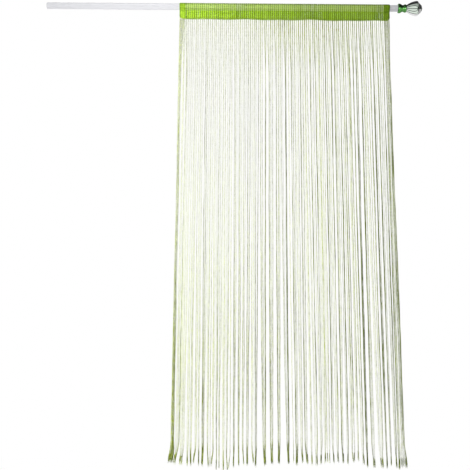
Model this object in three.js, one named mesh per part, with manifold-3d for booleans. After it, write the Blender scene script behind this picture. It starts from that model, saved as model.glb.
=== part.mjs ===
// Tassel door curtain hung on a round metal pole with a crystal finial.
// Millimetres, +Z up, the curtain's front faces -Y.
// The origin is on the pole's axis, halfway along the pole.
import * as THREE from 'three';
import { mergeVertices } from 'three/addons/utils/BufferGeometryUtils.js';
import Module from 'manifold-3d';

const wasm = await Module();
wasm.setup();

// Driving dimensions
const seatGap = 0.3; // left between pieces that touch

const pole = {
  radius: 14,
  length: 1540,
  chamfer: 0.8,
  sides: 32,
};

const curtain = {
  centreX: 273, // the curtain hangs towards the finial end
  width: 920,
  drop: 1950, // top of the band to the mean tip
};

const band = {
  cloth: 1.3, // one layer of knit
  height: 70,
  slack: 1.2, // room in front of and behind the pole
  seamDrop: 18.5, // sewing line below the pole's axis
  arcSteps: 10,
  spans: 12, // between the two side hems
};

const sideHem = {
  width: 26,
  turnIn: 0.6, // extra thickness where the tape's end is turned in
  blend: 1.5,
};

// The band's lower edge: nearly level, with its two corners drawn up
const lowerHem = {
  fall: 1.5, // lower at the right than at the left
  leftCorner: { rise: 9, width: 19, curl: 2.5 },
  rightCorner: { rise: 8, width: 13 },
  ripples: [
    { height: 0.9, waves: 3.6, start: 0 },
    { height: 0.7, waves: 6.5, start: 0.2 },
  ],
  swings: [
    { height: 1.1, waves: 2.7, start: 0.1 },
    { height: 0.8, waves: 5.9, start: 0 },
  ],
};

const fringe = {
  stripHeight: 5,
  stripThickness: 2.8,
  rootSink: 1.5, // of a strand's root in the strip
  strandRadius: 0.62,
  tipTaper: 0.6,
  hemStrands: 22, // under each side hem, in two rows
  hemRow: 0.75,
  hemRowTip: 1.2,
  rowGap: 1.7, // between the three rows of a gathered lock
  gather: 1.6, // power of the way down at which a lock closes
  bends: [650, 1180, 1600], // depths below the pole where a strand may bend
  opened: 0.3, // part of the drop by which a lock's rows stand apart
  tipLength: 38, // the stretch that turns aside
  raggedness: 5, // of the cut ends in one lock
};

// The strings as a whole bow a little as they hang
const hang = {
  bow: 2.5, // sideways
  bowWidth: 377,
  bowPhase: 2.4,
  swing: 3, // back and forth
  swingWidth: 597,
  swingPhase: 1.7,
};

const neck = {
  length: 36,
  cupDepth: 3,
  cupRadius: 15.2,
  sides: 32,
};

const crystal = {
  sides: 8,
  turn: 28, // degrees that the front ridge is turned down
};

const finish = {
  steel: { color: 0xc4c6c9, roughness: 0.32, metalness: 0.9 },
  chrome: { color: 0xd9dcdc, roughness: 0.08, metalness: 1.0 },
  glass: { color: 0xcfdccb, roughness: 0.05, metalness: 0.0 },
  knit: { color: 0x93b53c, roughness: 0.9, metalness: 0.0 },
  yarn: { color: 0xa3b668, roughness: 0.85, metalness: 0.0 },
};

// Locks of strands from left to right, charted from their tips.
// strands: how many gather into the lock
// pitch: spacing of its strands at the tips
// longer: drop of its tips below the mean tip
// lean: tips to the right of the roots' centre
// turn: sideways turn of the last stretch
const lockColumns = ['strands', 'pitch', 'longer', 'lean', 'turn'];
const lockRows = [
  [16, 1.2, -6, -1, -2],
  [9, 1.8, -2, 1, -5],
  [8, 2.5, 1, 0, -5],
  [4, 2.4, 5, 0, 0],
  [4, 2.0, 5, -1, 1],
  [4, 2.2, -4, 4, -8],
  [3, 2.4, 5, 4, 0],
  [7, 1.1, 5, 3, -2],
  [4, 1.8, 8, 3, 3],
  [2, 1.8, 8, 2, 1],
  [4, 2.0, 2, 4, -6],
  [4, 1.3, 20, 4, 0],
  [4, 1.1, 14, 1, 1],
  [5, 2.0, 24, 3, 1],
  [4, 2.0, 24, 2, 3],
  [3, 2.2, 16, 4, -5],
  [6, 1.2, 7, 4, -1],
  [6, 1.1, 3, 3, 1],
  [5, 1.3, -1, 1, 4],
  [6, 1.4, 3, 1, 0],
  [4, 1.9, -6, 3, 5],
  [6, 1.1, 6, 0, -1],
  [10, 1.1, 2, 6, 2],
  [9, 1.1, -6, 2, 1],
  [8, 1.1, -7, 1, -1],
  [9, 1.1, -7, 6, 1],
  [2, 2.0, -11, 8, 0],
  [7, 1.3, -3, 7, -2],
  [5, 1.8, -8, 4, 3],
  [6, 2.0, -8, 4, 4],
  [4, 2.6, 0, 8, 1],
  [6, 2.2, 0, 10, 0],
  [6, 1.7, -5, 10, -3],
  [4, 2.4, -9, 8, 0],
  [3, 2.6, -9, 5, 1],
  [3, 2.6, -9, 5, 0],
  [5, 2.2, -9, 6, 3],
  [6, 2.0, -13, 5, 1],
  [6, 2.0, -10, 6, 2],
  [5, 2.0, -6, 7, -1],
  [4, 2.6, -10, 8, 3],
  [3, 2.6, -14, 8, -2],
  [4, 2.4, -18, 8, 0],
  [6, 2.1, -6, 9, 2],
  [6, 1.5, 6, 6, 0],
  [7, 2.0, 5, 7, 3],
  [9, 2.2, 5, 9, 2],
  [6, 1.1, 9, 4, 1],
  [5, 1.3, -3, 1, 1],
  [6, 1.6, 4, 1, 2],
  [9, 1.2, 12, -1, 0],
  [13, 1.1, 5, 2, 2],
];
const locks = lockRows.map((row) => Object.fromEntries(row.map((value, i) => [lockColumns[i], value])));
const strandCount = locks.reduce((sum, lock) => sum + lock.strands, 0);

// Places worked out from the sizes
const left = curtain.centreX - curtain.width / 2;
const right = curtain.centreX + curtain.width / 2;
const loopRadius = pole.radius + seatGap + 0.05;
const bandTop = loopRadius + band.cloth;
const bandBottom = bandTop - band.height;
const meanTip = bandTop - curtain.drop;

// Steady scatter between -1 and 1 for strand or lock number n
function scatter(n, salt) {
  const wave = Math.sin(n * 12.9898 + salt * 78.233) * 43758.5453;
  return 2 * (wave - Math.floor(wave)) - 1;
}

function smooth(from, to, value) {
  return THREE.MathUtils.smoothstep(value, from, to);
}

// Solid through a row of closed sections with equal numbers of corners.
// outline is a section as [u, v] points, and the row runs along u cross v.
function loft(sections, outline) {
  const corners = outline.length;
  const shape = outline.map(([u, v]) => new THREE.Vector2(u, v));
  const winding = Math.sign(THREE.ShapeUtils.area(shape));
  const faces = [];
  for (let row = 0; row < sections.length - 1; row++) {
    for (let i = 0; i < corners; i++) {
      const a = row * corners + i;
      const b = row * corners + (i + 1) % corners;
      faces.push([a, b, b + corners], [a, b + corners, a + corners]);
    }
  }
  const last = (sections.length - 1) * corners;
  for (const corner of THREE.ShapeUtils.triangulateShape(shape, [])) {
    const sameWay = Math.sign(THREE.ShapeUtils.area(corner.map((i) => shape[i]))) === winding;
    const [a, b, c] = sameWay ? corner : corner.toReversed();
    faces.push([a, c, b], [last + a, last + b, last + c]);
  }
  const outward = winding > 0 ? faces : faces.map((face) => face.toReversed());
  const geometry = new THREE.BufferGeometry().setFromPoints(sections.flat());
  geometry.setIndex(outward.flat());
  return toSolid(geometry);
}

function toSolid(geometry) {
  const bare = new THREE.BufferGeometry();
  bare.setAttribute('position', geometry.getAttribute('position'));
  bare.setIndex(geometry.getIndex());
  const merged = mergeVertices(bare, 1e-4);
  const vertProperties = new Float32Array(merged.getAttribute('position').array);
  const triVerts = new Uint32Array(merged.getIndex().array);
  return new wasm.Manifold(new wasm.Mesh({ numProp: 3, vertProperties, triVerts }));
}

function toGeometry(solid) {
  const mesh = solid.getMesh();
  const geometry = new THREE.BufferGeometry();
  geometry.setAttribute('position', new THREE.BufferAttribute(mesh.vertProperties, 3));
  geometry.setIndex(new THREE.BufferAttribute(mesh.triVerts, 1));
  geometry.computeVertexNormals();
  return geometry;
}

const object = new THREE.Group();

function addPiece(name, geometry, look) {
  const mesh = new THREE.Mesh(geometry, new THREE.MeshStandardMaterial(look));
  mesh.name = name;
  object.add(mesh);
  return mesh;
}

// Turned pieces lie along X, with their profile's start at the left
function turned(profile, sides) {
  const points = profile.map(([along, radius]) => new THREE.Vector2(radius, along));
  const geometry = new THREE.LatheGeometry(points, sides);
  geometry.rotateZ(-Math.PI / 2);
  return geometry;
}

// Pole
const poleEnd = pole.length / 2;
addPiece('pole', turned([
  [-poleEnd, 0],
  [-poleEnd, pole.radius - pole.chamfer],
  [-poleEnd + pole.chamfer, pole.radius],
  [poleEnd - pole.chamfer, pole.radius],
  [poleEnd, pole.radius - pole.chamfer],
  [poleEnd, 0],
], pole.sides), finish.steel);

// Finial neck: a large flange against the pole, a waist, and a small flange
// with a shallow cup for the crystal
const neckPiece = addPiece('finial_neck', turned([
  [0, 0],
  [0, 17.5],
  [1.2, 19.8],
  [4.5, 20.7],
  [9.5, 20.2],
  [13.5, 18.2],
  [18, 15.6],
  [22, 14.7],
  [25.5, 15.4],
  [28.5, 17.2],
  [31.5, 18],
  [34.5, 17.7],
  [neck.length, 16.6],
  [neck.length, neck.cupRadius],
  [neck.length - neck.cupDepth, neck.cupRadius],
  [neck.length - neck.cupDepth, 0],
], neck.sides), finish.chrome);
neckPiece.position.x = poleEnd + seatGap;

// Finial crystal: eight flat panels with ridges between them, widest near
// its outer end, closed by a low faceted point
const crystalPiece = addPiece('finial_crystal', turned([
  [0, 0],
  [0, 13.4],
  [0.6, 14],
  [3.4, 14.6],
  [11, 19.8],
  [24, 26.7],
  [37, 31],
  [47, 33],
  [53, 32],
  [58.5, 26.8],
  [66.5, 14.4],
  [73, 3],
  [74.5, 0],
], crystal.sides), finish.glass);
crystalPiece.rotation.x = THREE.MathUtils.degToRad(crystal.turn);
crystalPiece.position.x = neckPiece.position.x + neck.length - neck.cupDepth + seatGap;

function sumOfWaves(rows, along) {
  const heights = rows.map((row) => row.height * Math.sin(2 * Math.PI * (row.waves * along + row.start)));
  return heights.reduce((sum, height) => sum + height, 0);
}

function nearLeft(x) {
  return 1 - smooth(left, left + lowerHem.leftCorner.width, x);
}

function nearRight(x) {
  return smooth(right - lowerHem.rightCorner.width, right, x);
}

// Height of the band's lower edge
function lowerEdge(x) {
  const along = (x - left) / curtain.width;
  const corners = lowerHem.leftCorner.rise * nearLeft(x) + lowerHem.rightCorner.rise * nearRight(x);
  return bandBottom - lowerHem.fall * along + sumOfWaves(lowerHem.ripples, along) + corners;
}

// How far the lower edge swings back (+Y) or forward
function edgeSwing(x) {
  const along = (x - left) / curtain.width;
  return sumOfWaves(lowerHem.swings, along) + lowerHem.leftCorner.curl * nearLeft(x);
}

function clothAt(x) {
  const fromEnd = Math.min(x - left, right - x);
  return band.cloth + sideHem.turnIn * (1 - smooth(sideHem.width, sideHem.width + sideHem.blend, fromEnd));
}

// Half of the loop round the pole, as [y, z] from its top to where it
// leaves the pole towards the sewing line
function loopHalf(thickness) {
  const lowest = Math.acos(loopRadius / band.seamDrop) - Math.PI / 2;
  const points = [];
  for (let i = 0; i <= band.arcSteps; i++) {
    const angle = THREE.MathUtils.lerp(Math.PI / 2, lowest, i / band.arcSteps);
    const wide = pole.radius + band.slack + thickness;
    points.push([wide * Math.cos(angle), (loopRadius + thickness) * Math.sin(angle)]);
  }
  return points;
}

// Both sides as one closed outline, from the top down the back and up the front
function mirrored(backSide, middle = []) {
  const frontSide = backSide.map(([y, z]) => [-y, z]).reverse();
  return [...backSide, ...middle, ...frontSide.slice(0, -1)];
}

// Section of the folded tape: drawn in at the sewing line, full in the
// middle of the doubled tail and thin at its lower edge
function bandSection(x) {
  const cloth = clothAt(x);
  const bottom = lowerEdge(x);
  const sewn = -band.seamDrop - 0.7 * band.cloth;
  return mirrored([
    ...loopHalf(cloth),
    [cloth * 0.9, sewn],
    [cloth * 1.12, THREE.MathUtils.lerp(sewn, bottom, 0.45)],
    [cloth * 1.05, bottom + 2 * band.cloth],
    [cloth * 0.75, bottom],
  ]);
}

const pocketOutline = mirrored(loopHalf(0), [[0, -band.seamDrop]]);

// Below the sewing line the doubled tail swings with the lower edge
function swung(outline, x) {
  const bottom = lowerEdge(x);
  return outline.map(([y, z]) => {
    const down = THREE.MathUtils.clamp((-band.seamDrop - z) / (-band.seamDrop - bottom), 0, 1);
    return new THREE.Vector3(x, y + edgeSwing(x) * down, z);
  });
}

function bandStations() {
  const nearEnd = [0, 4, 9, 14, 19, sideHem.width, sideHem.width + sideHem.blend];
  const inner = sideHem.width + sideHem.blend;
  const stations = nearEnd.map((distance) => left + distance);
  for (let i = 1; i < band.spans; i++) {
    stations.push(THREE.MathUtils.lerp(left + inner, right - inner, i / band.spans));
  }
  return [...stations, ...nearEnd.map((distance) => right - distance).reverse()];
}

// Header band: one folded tape, with the pocket cut right through
const stations = bandStations();
const bandBody = loft(stations.map((x) => swung(bandSection(x), x)), bandSection(left));
const pocketEnds = [left - seatGap, right + seatGap];
const pocket = loft(
  pocketEnds.map((x) => pocketOutline.map(([y, z]) => new THREE.Vector3(x, y, z))),
  pocketOutline,
);
addPiece('header_band', toGeometry(bandBody.subtract(pocket)), finish.knit);

// Strip that the strands are fused to, parted from the band's lower edge
const stripHalf = fringe.stripThickness / 2;
const stripOutline = [
  [-stripHalf, 0],
  [stripHalf, 0],
  [stripHalf, -fringe.stripHeight],
  [-stripHalf, -fringe.stripHeight],
];

function stripSection(x) {
  const top = lowerEdge(x) - seatGap;
  return stripOutline.map(([y, z]) => new THREE.Vector3(x, y + edgeSwing(x), top + z));
}

// Root of strand number n: evenly along the strip, closer under the hems
function rootX(n) {
  const inner = strandCount - 2 * fringe.hemStrands;
  const hemPitch = sideHem.width / fringe.hemStrands;
  const pitch = (curtain.width - 2 * sideHem.width) / inner;
  if (n < fringe.hemStrands) return left + (n + 0.5) * hemPitch;
  if (n >= strandCount - fringe.hemStrands) return right - (strandCount - n - 0.5) * hemPitch;
  return left + sideHem.width + (n - fringe.hemStrands + 0.5) * pitch;
}

function underHem(n) {
  return n < fringe.hemStrands || n >= strandCount - fringe.hemStrands;
}

function bow(x, down) {
  return hang.bow * down * Math.sin((2 * Math.PI * x) / hang.bowWidth + hang.bowPhase * down);
}

function swing(x, down) {
  return hang.swing * down * Math.sin((2 * Math.PI * x) / hang.swingWidth + hang.swingPhase);
}

// Depth in the fringe of a strand's root and of its tip: two rows under a
// hem, and elsewhere one row that opens into three
function strandRows(n, placeInLock) {
  const side = n % 2 ? 1 : -1;
  if (underHem(n)) return [side * fringe.hemRow, side * fringe.hemRowTip];
  return [0, fringe.rowGap * ((placeInLock % 3) - 1)];
}

// One strand: straight down from its root, drawn in towards its lock
function strandPath(n, placeInLock, lock, centre) {
  const x = rootX(n);
  const rootZ = lowerEdge(x) - seatGap - fringe.stripHeight;
  const lockTip = meanTip - lock.longer;
  const tipX = centre + lock.lean + (placeInLock - (lock.strands - 1) / 2) * lock.pitch;
  const tipZ = lockTip + fringe.raggedness * scatter(n, 1);
  const [rootY, tipY] = strandRows(n, placeInLock);
  const bends = fringe.bends.map((depth) => -depth);
  const path = [rootZ, ...bends, lockTip + fringe.tipLength, tipZ].map((z) => {
    const down = Math.min(1, (rootZ - z) / (rootZ - meanTip));
    const depth = THREE.MathUtils.lerp(rootY, tipY, Math.min(1, down / fringe.opened));
    return new THREE.Vector3(
      THREE.MathUtils.lerp(x, tipX, down ** fringe.gather) + bow(x, down),
      depth + edgeSwing(x) + swing(x, down),
      z,
    );
  });
  path[0].z += fringe.rootSink;
  path.at(-1).x += lock.turn;
  return path;
}

function strandSolid(path, n) {
  const spin = Math.PI * scatter(n, 2);
  const corners = [0, 1, 2].map((i) => {
    const angle = spin + (i * 2 * Math.PI) / 3;
    return [fringe.strandRadius * Math.cos(angle), fringe.strandRadius * Math.sin(angle)];
  });
  const sections = path.map((point, step) => {
    const scale = step === path.length - 1 ? fringe.tipTaper : 1;
    return corners.map(([u, v]) => new THREE.Vector3(point.x + u * scale, point.y + v * scale, point.z));
  });
  return loft(sections.reverse(), corners);
}

// String fringe
let strings = loft(stations.map(stripSection), stripOutline);
let first = 0;
for (const lock of locks) {
  const roots = Array.from({ length: lock.strands }, (_, place) => rootX(first + place));
  const centre = roots.reduce((sum, x) => sum + x, 0) / roots.length;
  for (let place = 0; place < lock.strands; place++) {
    const path = strandPath(first + place, place, lock, centre);
    strings = strings.add(strandSolid(path, first + place));
  }
  first += lock.strands;
}
addPiece('string_fringe', toGeometry(strings), finish.yarn);

export default object;
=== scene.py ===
import math

import bpy
from mathutils import Euler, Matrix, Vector


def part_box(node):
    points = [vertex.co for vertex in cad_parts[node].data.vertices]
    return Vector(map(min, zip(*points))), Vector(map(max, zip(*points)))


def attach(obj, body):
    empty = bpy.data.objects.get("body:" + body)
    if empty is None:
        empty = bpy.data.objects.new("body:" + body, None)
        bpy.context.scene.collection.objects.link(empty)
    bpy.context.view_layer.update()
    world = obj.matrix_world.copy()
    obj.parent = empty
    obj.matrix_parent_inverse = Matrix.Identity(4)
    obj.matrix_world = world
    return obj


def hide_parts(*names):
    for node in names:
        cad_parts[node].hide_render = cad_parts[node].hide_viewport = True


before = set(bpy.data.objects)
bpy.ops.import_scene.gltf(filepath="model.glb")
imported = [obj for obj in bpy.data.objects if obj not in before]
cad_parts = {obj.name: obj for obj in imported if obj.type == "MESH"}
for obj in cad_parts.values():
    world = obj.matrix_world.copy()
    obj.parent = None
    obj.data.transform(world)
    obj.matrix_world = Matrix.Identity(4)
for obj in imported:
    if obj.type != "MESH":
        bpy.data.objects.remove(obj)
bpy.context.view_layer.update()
mm = 0.001  # sizes in the dictionaries are millimetres, angles are degrees

salts = {  # one for each thing that varies, so that no two vary together
    "stringLength": 1, "yarnPlace": 3, "yarnTone": 4, "stringTone": 5, "stringGirth": 6, "slub": 7,
    "fibreX": 11, "fibreY": 12, "fibreLength": 13, "fibreTone": 14,
    "darkHalf": 21, "paleHalf": 22, "rootPlace": 31, "bundleSide": 41,
}


scatterBy = (12.9898, 78.233, 43758.5453)  # any numbers with many digits would do


def scatter(n, what):  # steady scatter between -1 and 1
    byNumber, bySalt, bySize = scatterBy
    wave = math.sin(n * byNumber + salts[what] * bySalt) * bySize
    return 2 * (wave - math.floor(wave)) - 1


def held(value, low=0, high=1):
    return min(high, max(low, value))


def smooth(start, end, value):
    share = held((value - start) / (end - start))
    return share * share * (3 - 2 * share)


def mix(start, end, share):
    return start + (end - start) * share


def spread(start, end, steps):  # evenly, with both ends
    return [mix(start, end, i / steps) for i in range(steps + 1)]


def between(stops, values, spot):  # straight lines from value to value
    i = held(sum(stop < spot for stop in stops), 1, len(stops) - 1)
    return mix(values[i - 1], values[i], held((spot - stops[i - 1]) / (stops[i] - stops[i - 1])))


def boxInMm(node):
    low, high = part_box(node)
    return low / mm, high / mm


def addObject(name, data):
    thing = bpy.data.objects.new(name, data)
    bpy.context.scene.collection.objects.link(thing)
    return thing


def addMesh(name, points, edges, faces):  # points in millimetres
    mesh = bpy.data.meshes.new(name)
    mesh.from_pydata([Vector(point) * mm for point in points], edges, faces)
    return addObject(name, mesh)


# Camera

view = {
    "place": (65.2, -3240.6, -1690.0),
    "tilt": 11.648,
    "turn": 0.027,
    "roll": 0.473,
    "lens": 61.28,
    "sensor": 36,
    "sight": 100000,  # how far it sees
}


def addCamera():
    data = bpy.data.cameras.new("view")
    data.lens = view["lens"]
    data.sensor_width = view["sensor"]
    data.clip_end = view["sight"] * mm
    camera = addObject("view", data)
    upright = Euler((math.radians(90 + view["tilt"]), 0, math.radians(view["turn"]))).to_matrix()
    rolled = Euler((0, 0, math.radians(view["roll"]))).to_matrix()
    camera.rotation_euler = (upright @ rolled).to_euler()
    camera.location = Vector(view["place"]) * mm
    bpy.context.scene.camera = camera


addCamera()
print("stage: camera in place")


# Node trees

socketKinds = {float: "Float", int: "Int", tuple: "Vector"}


def pick(sockets, name):  # the socket in use with that name, or the one at that place
    if isinstance(name, int):
        return sockets[name]
    return next(socket for socket in sockets if socket.name == name and socket.enabled)


def feed(tree, socket, value):
    if isinstance(value, bpy.types.Node):
        value = next(output for output in value.outputs if output.enabled)
    if isinstance(value, bpy.types.NodeSocket):
        tree.links.new(value, socket)
    else:
        socket.default_value = value


def place(tree, kind, inputs=None, **settings):
    node = tree.nodes.new(kind)
    for name, value in settings.items():
        setattr(node, name, value)
    for name, value in (inputs or {}).items():
        feed(tree, pick(node.inputs, name), value)
    return node


def newTree(name, kind, inputs, outputs):  # an input is given as its first value, or as its kind
    tree = bpy.data.node_groups.new(name, kind)
    for label, value in inputs.items():
        socketKind = value if isinstance(value, str) else socketKinds[type(value)]
        socket = tree.interface.new_socket(label, in_out="INPUT", socket_type="NodeSocket" + socketKind)
        if not isinstance(value, str):
            socket.default_value = value
    for label, socketKind in outputs.items():
        tree.interface.new_socket(label, in_out="OUTPUT", socket_type="NodeSocket" + socketKind)
    return tree, place(tree, "NodeGroupInput").outputs, place(tree, "NodeGroupOutput").inputs


def calculate(tree, operation, first, second=0.0, third=0.0, clamp=False):
    inputs = {0: first, 1: second, 2: third}
    return place(tree, "ShaderNodeMath", inputs, operation=operation, use_clamp=clamp).outputs[0]


def calculateVector(tree, operation, first, second):
    return place(tree, "ShaderNodeVectorMath", {0: first, 1: second}, operation=operation)


def blendValues(tree, share, first, second):
    return place(tree, "ShaderNodeMix", {0: share, 2: first, 3: second}).outputs[0]


def blendColours(tree, share, first, second):
    return place(tree, "ShaderNodeMix", {0: share, 6: first, 7: second}, data_type="RGBA").outputs[2]


def named(tree, name, kind="FLOAT"):
    return place(tree, "GeometryNodeInputNamedAttribute", {"Name": name}, data_type=kind)


def store(tree, geometry, name, value, kind="FLOAT", domain="POINT"):
    inputs = {"Geometry": geometry, "Name": name, "Value": value}
    return place(tree, "GeometryNodeStoreNamedAttribute", inputs, data_type=kind, domain=domain)


def wiredPiece(name, labels, lines):  # thin lines for a tree to dress, rows of a point and its values
    rows, edges = [], []
    for line in lines:
        edges += [(i, i + 1) for i in range(len(rows), len(rows) + len(line) - 1)]
        rows += line
    points, *columns = zip(*rows)
    piece = addMesh(name, points, edges, [])
    for label, values in zip(labels, columns):
        if isinstance(values[0], tuple):
            flat = [part for value in values for part in value]
            piece.data.attributes.new(label, "FLOAT_VECTOR", "POINT").data.foreach_set("vector", flat)
        else:
            piece.data.attributes.new(label, "FLOAT", "POINT").data.foreach_set("value", values)
    return piece


lengthInputs = (  # of the trees, given in millimetres
    "Thickness", "Waver", "Waver Length", "Link Length", "Link Height", "Wale Start", "Wale Width",
)


def grow(piece, tree, yarn, sizes):  # runs the tree and keeps its result as a plain mesh
    modifier = piece.modifiers.new(tree.name, "NODES")
    modifier.node_group = tree
    values = {"Yarn": yarn, **sizes}
    for item in tree.interface.items_tree:
        if item.item_type == "SOCKET" and item.in_out == "INPUT" and item.name in values:
            value = values[item.name]
            modifier[item.identifier] = value * mm if item.name in lengthInputs else value
    graph = bpy.context.evaluated_depsgraph_get()
    grown = bpy.data.meshes.new_from_object(piece.evaluated_get(graph), depsgraph=graph)
    piece.modifiers.clear()
    piece.data = grown
    grown.name = piece.name
    return piece


# Finishes

def inPlace(tree, stretch):  # object coordinates, stretched for a pattern
    coordinates = place(tree, "ShaderNodeTexCoord").outputs["Object"]
    return calculateVector(tree, "MULTIPLY", coordinates, stretch)


def yarnGroup():  # plied yarn: grooves between the plies, and fine hairs
    tree, given, result = newTree(
        "pliedYarn", "ShaderNodeTree",
        {
            "Round": "Vector", "Along": 0.0, "Plies": 2.0, "Turns": 120.0,
            "Fuzz": 0.3, "Fuzz Scale": 2600.0,
        },
        {"Height": "Float", "Groove": "Float"},
    )
    around = place(tree, "ShaderNodeSeparateXYZ", {"Vector": given["Round"]}).outputs
    angle = calculate(tree, "ARCTAN2", around["Y"], around["X"])
    turned = calculate(tree, "MULTIPLY", given["Along"], given["Turns"])
    turned = calculate(tree, "MULTIPLY", turned, 2 * math.pi)
    phase = calculate(tree, "MULTIPLY_ADD", angle, given["Plies"], turned)
    ridge = calculate(tree, "MULTIPLY_ADD", calculate(tree, "SINE", phase), 0.5, 0.5)
    coordinates = place(tree, "ShaderNodeTexCoord").outputs["Object"]
    hairs = place(tree, "ShaderNodeTexNoise", {
        "Vector": coordinates, "Scale": given["Fuzz Scale"], "Detail": 2.0,
    })
    fuzz = calculate(tree, "MULTIPLY", hairs.outputs[0], given["Fuzz"])
    feed(tree, result["Height"], calculate(tree, "ADD", ridge, fuzz))
    feed(tree, result["Groove"], calculate(tree, "SUBTRACT", 1.0, ridge, clamp=True))
    return tree


def wearGroup():  # fine scratches and finger marks on metal and glass
    tree, given, result = newTree(
        "handling", "ShaderNodeTree",
        {"Clean": 0.1, "Worn": 0.3, "Scale": 40.0, "Stretch": (1, 1, 1)},
        {"Roughness": "Float", "Height": "Float"},
    )
    marks = place(tree, "ShaderNodeTexNoise", {
        "Vector": inPlace(tree, given["Stretch"]), "Scale": given["Scale"], "Detail": 6.0, "Roughness": 0.6,
    })
    rough = place(tree, "ShaderNodeMapRange", {
        "Value": marks.outputs[0], "From Min": 0.35, "From Max": 0.75,
        "To Min": given["Clean"], "To Max": given["Worn"],
    })
    feed(tree, result["Roughness"], rough)
    feed(tree, result["Height"], marks.outputs[0])
    return tree


pliedYarn = yarnGroup()
handling = wearGroup()


def srgb(red, green, blue):  # a colour as picked on screen
    def linear(part):
        part /= 255
        return part / 12.92 if part <= 0.04045 else ((part + 0.055) / 1.055) ** 2.4
    return linear(red), linear(green), linear(blue), 1.0


def newMaterial(name, **constants):
    material = bpy.data.materials.new(name)
    material.use_nodes = True
    tree = material.node_tree
    surface = next(node for node in tree.nodes if node.type == "BSDF_PRINCIPLED").inputs
    for label, value in constants.items():
        surface[label.replace("_", " ")].default_value = value
    return material, tree, surface


def addBump(tree, surface, height, strength, depth):  # depth in millimetres
    inputs = {"Strength": strength, "Distance": depth * mm, "Height": height}
    feed(tree, surface["Normal"], place(tree, "ShaderNodeBump", inputs))


def hardMaterial(name, wear, bump, **constants):  # metal and glass
    material, tree, surface = newMaterial(name, **constants)
    marks = place(tree, "ShaderNodeGroup", wear, node_tree=handling).outputs
    feed(tree, surface["Roughness"], marks["Roughness"])
    addBump(tree, surface, marks["Height"], *bump)
    return material


def yarnMaterial(name, look):
    material, tree, surface = newMaterial(
        name, Roughness=0.8, Sheen_Weight=look["sheen"], Sheen_Roughness=0.5, Sheen_Tint=look["pale"],
        Specular_IOR_Level=look["gloss"],
    )

    def attribute(label):
        return place(tree, "ShaderNodeAttribute", attribute_name=label).outputs

    inputs = {"Round": attribute("roundYarn")["Vector"], "Along": attribute("alongYarn")["Fac"]}
    plied = place(tree, "ShaderNodeGroup", {**inputs, **look["plied"]}, node_tree=pliedYarn).outputs
    patches = place(tree, "ShaderNodeTexNoise", {
        "Vector": inPlace(tree, look["patches"]), "Scale": 1.0, "Detail": 4.0, "Roughness": 0.72,
    })
    uneven = calculate(tree, "SUBTRACT", patches.outputs[0], 0.5)
    shade = calculate(tree, "MULTIPLY_ADD", attribute("tone")["Fac"], 0.5, 0.5)
    shade = calculate(tree, "MULTIPLY_ADD", uneven, look["uneven"], shade, clamp=True)
    grooved = calculate(tree, "MULTIPLY", plied["Groove"], look["groove"])
    colour = blendColours(tree, shade, look["pale"], look["deep"])
    colour = blendColours(tree, attribute("stretch")["Fac"], colour, look["washed"])
    colour = blendColours(tree, grooved, colour, look["shadow"])
    feed(tree, surface["Base Color"], colour)
    addBump(tree, surface, plied["Height"], look["bump"], look["depth"])
    return material


# Light, floor and backdrop

lampColumns = ("place", "aim", "size", "power", "on")
lamps = {
    "key": ((-900, -1000, -50), (0, 0, -500), (700, 700), 48, "cloth"),
    "low": ((-1400, -2200, -1500), (100, 0, -1400), (900, 900), 150, "cloth"),
    "front": ((-300, -3500, -1400), (0, 0, 0), (2500, 900), 60, "chrome"),
    "back": ((-600, -1800, 2000), (0, 0, 0), (1500, 1500), 6, "chrome"),
    "above": ((-330, -1500, 1260), (-330, 0, 0), (1500, 1200), 49, "steel"),
    "under": ((-330, -450, -1680), (-330, 0, 0), (1500, 1200), 36, "steel"),
}
litBy = {"band_knit": "cloth", "string_yarn": "cloth", "pole_steel": "steel", "neck_chrome": "chrome"}
lit = {name: bpy.data.collections.new("lit " + name) for name in ("cloth", "steel", "chrome")}

studio = {
    "floorBelow": 2000,
    "floorWidth": 80000,
    "floorBack": 900,  # it ends soon behind the curtain
    "floorColour": (0.55, 0.55, 0.547, 1),
    "floorGlow": (0.9, 0.1),  # as seen, and as light on matt surfaces
    "ahead": (0.3, 0.03),  # brightness of the front, at the horizon and from above
    "aheadHeights": (0.05, 0.4),  # upward part of the direction, where that change starts and ends
    "behind": 0.75,  # and of the back
    "behindFrom": (0.35, 0.65),  # backward part of the direction, likewise
    "ambient": 0.5,  # share of it that lights matt surfaces
    "throughGlass": 0.18,  # brightness added where it shows through the crystal
}


def addLight(name, lamp):
    data = bpy.data.lights.new(name, "AREA")
    data.shape = "RECTANGLE"
    data.size, data.size_y = [length * mm for length in lamp["size"]]
    data.energy = lamp["power"]
    light = addObject(name, data)
    light.location = Vector(lamp["place"]) * mm
    aim = Vector(lamp["aim"]) * mm - light.location
    light.rotation_euler = aim.to_track_quat("-Z", "Y").to_euler()
    light.visible_camera = False
    light.visible_transmission = False
    light.light_linking.receiver_collection = lit[lamp["on"]]


def addFloor():
    half, back, height = studio["floorWidth"] / 2, studio["floorBack"], -studio["floorBelow"]
    corners = [(-half, -half, height), (half, -half, height), (half, back, height), (-half, back, height)]
    floor = addMesh("floor", corners, [], [(0, 1, 2, 3)])
    material, tree, surface = newMaterial(
        "paleFloor", Roughness=0.9, Base_Color=studio["floorColour"], Emission_Color=(1, 1, 1, 1),
    )
    ray = place(tree, "ShaderNodeLightPath").outputs
    glow = blendValues(tree, ray["Is Diffuse Ray"], *studio["floorGlow"])
    feed(tree, surface["Emission Strength"], glow)
    floor.data.materials.append(material)


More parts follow.
